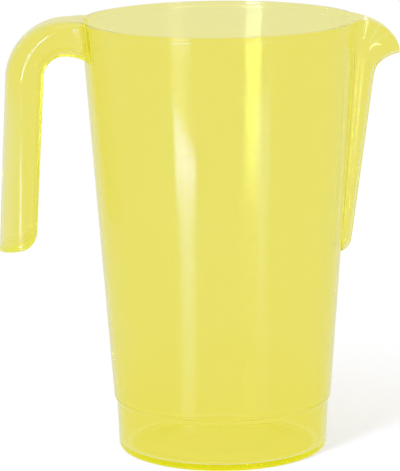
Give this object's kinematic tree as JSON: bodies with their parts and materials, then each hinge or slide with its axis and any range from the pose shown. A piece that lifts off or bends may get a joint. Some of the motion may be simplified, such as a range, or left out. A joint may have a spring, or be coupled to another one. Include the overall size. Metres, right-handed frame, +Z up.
{
  "type": "beer pitcher",
  "caption": "Tapered see-through pitcher with an open-ended hanging handle, a moulded spout channel with a drooping lip and a stepped foot for nesting.",
  "frame": {"origin": "on the table, under the centre of the foot", "axes": "+Z up along the barrel, +X towards the spout, -X towards the handle"},
  "size_m": [0.198, 0.1356, 0.2157],
  "materials": {
    "clear_yellow_plastic": "glossy, see-through yellow moulded plastic"
  },
  "bodies": {
    "root": {"floor_disc": "clear_yellow_plastic", "foot_ring": "clear_yellow_plastic", "foot_wall": "clear_yellow_plastic", "stacking_step": "clear_yellow_plastic", "barrel_wall": "clear_yellow_plastic", "rim_band": "clear_yellow_plastic", "spout_channel": "clear_yellow_plastic", "pouring_lip": "clear_yellow_plastic", "handle_root": "clear_yellow_plastic", "handle_arch": "clear_yellow_plastic", "handle_grip": "clear_yellow_plastic", "handle_end": "clear_yellow_plastic"}
  },
  "joints": []
}
